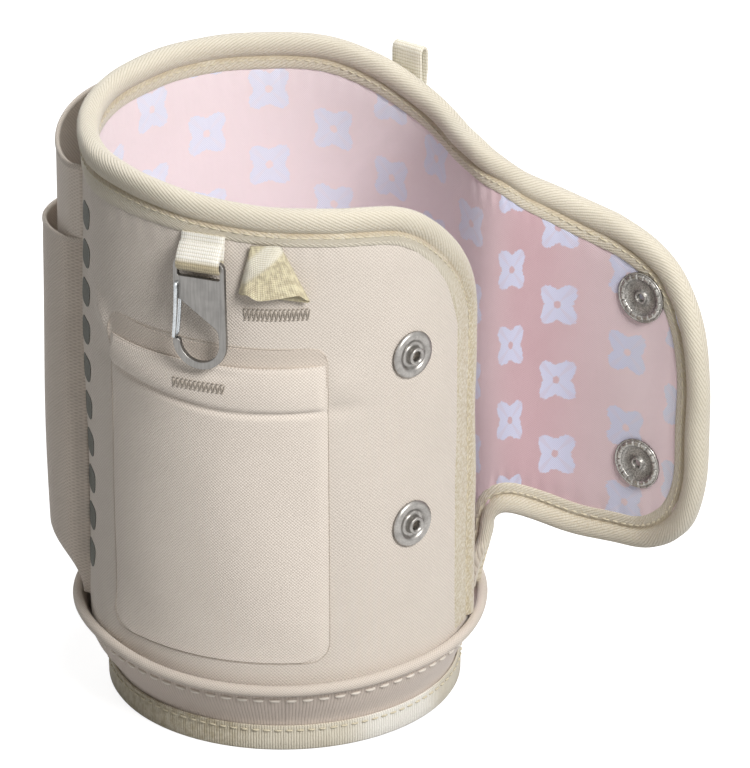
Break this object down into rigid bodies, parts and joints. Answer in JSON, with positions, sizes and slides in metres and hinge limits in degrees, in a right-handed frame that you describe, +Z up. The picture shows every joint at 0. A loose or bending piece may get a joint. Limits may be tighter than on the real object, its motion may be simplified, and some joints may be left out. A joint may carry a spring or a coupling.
{
  "type": "tumbler carrier sleeve",
  "caption": "Padded fabric carrier sleeve with an open base, a curved snap-closed side flap, outer pockets, strap loops and a hanging clip, for a large handled drinks tumbler.",
  "frame": {"origin": "centre of the open base, on the plane that the ribbon hem stands on", "axes": "+Z up along the sleeve's axis, -Y towards the front pocket and clip, +X towards the flap's hinge line"},
  "size_m": [0.1833, 0.1261, 0.1708],
  "materials": {
    "canvas": "woven matt",
    "foam": "open cell foam",
    "lining": "printed plain weave",
    "twill_tape": "herringbone twill",
    "collar_fabric": "ribbed stretch fabric",
    "ribbon": "grosgrain",
    "elastic": "woven elastic",
    "knit": "fine knit",
    "pocket_canvas": "woven matt",
    "webbing": "glossy webbing",
    "grey_thread": "satin stitch",
    "nickel": "antique nickel",
    "dark_nickel": "dark antique nickel",
    "brushed_steel": "brushed",
    "spring_steel": "bright drawn wire"
  },
  "bodies": {
    "wrap": {"outer_shell": "canvas", "foam_layer": "foam", "lining": "lining", "rim_binding": "twill_tape", "end_binding": "twill_tape", "collar_band": "collar_fabric", "collar_piping": "collar_fabric", "hem_binding": "ribbon", "hem_elastic": "elastic", "front_pocket_panel": "knit", "front_pocket_hem": "knit", "front_pocket_tack": "grey_thread", "phone_pocket_panel": "pocket_canvas", "phone_pocket_binding": "pocket_canvas", "card_pocket_panel": "pocket_canvas", "card_pocket_binding": "pocket_canvas", "strap_loop_front": "webbing", "strap_tack_front": "grey_thread", "strap_loop_back": "webbing", "strap_tack_back": "grey_thread", "snap_studs": "nickel", "snap_stud_backs": "nickel"},
    "flap": {"flap_outer": "canvas", "flap_foam": "foam", "flap_lining": "lining", "flap_binding": "twill_tape", "snap_sockets": "dark_nickel", "socket_springs": "spring_steel", "snap_caps": "dark_nickel"},
    "clip_loop": {"clip_webbing": "webbing"},
    "clip": {"clip_frame": "brushed_steel"},
    "gate": {"clip_gate": "spring_steel"}
  },
  "joints": [
    {"name": "flap_swing", "type": "hinge", "parent": "wrap", "child": "flap", "pos_m": [0.0523, 0, 0.1], "axis": [0, 0, 1], "range_deg": [-103, 15]},
    {"name": "loop_swing", "type": "hinge", "parent": "wrap", "child": "clip_loop", "pos_m": [-0.0209, -0.05174, 0.15275], "axis": [-0.9272, 0.3746, 0], "range_deg": [0, 75]},
    {"name": "clip_swing", "type": "hinge", "parent": "clip_loop", "child": "clip", "pos_m": [-0.02169, -0.05368, 0.14835], "axis": [-0.9272, 0.3746, 0], "range_deg": [-3, 80]},
    {"name": "gate_pivot", "type": "hinge", "parent": "clip", "child": "gate", "pos_m": [-0.02739, -0.05138, 0.14255], "axis": [-0.3746, -0.9272, 0], "range_deg": [0, 22], "stiffness_Nm_per_rad": 0.002, "springref_deg": -9.74}
  ]
}
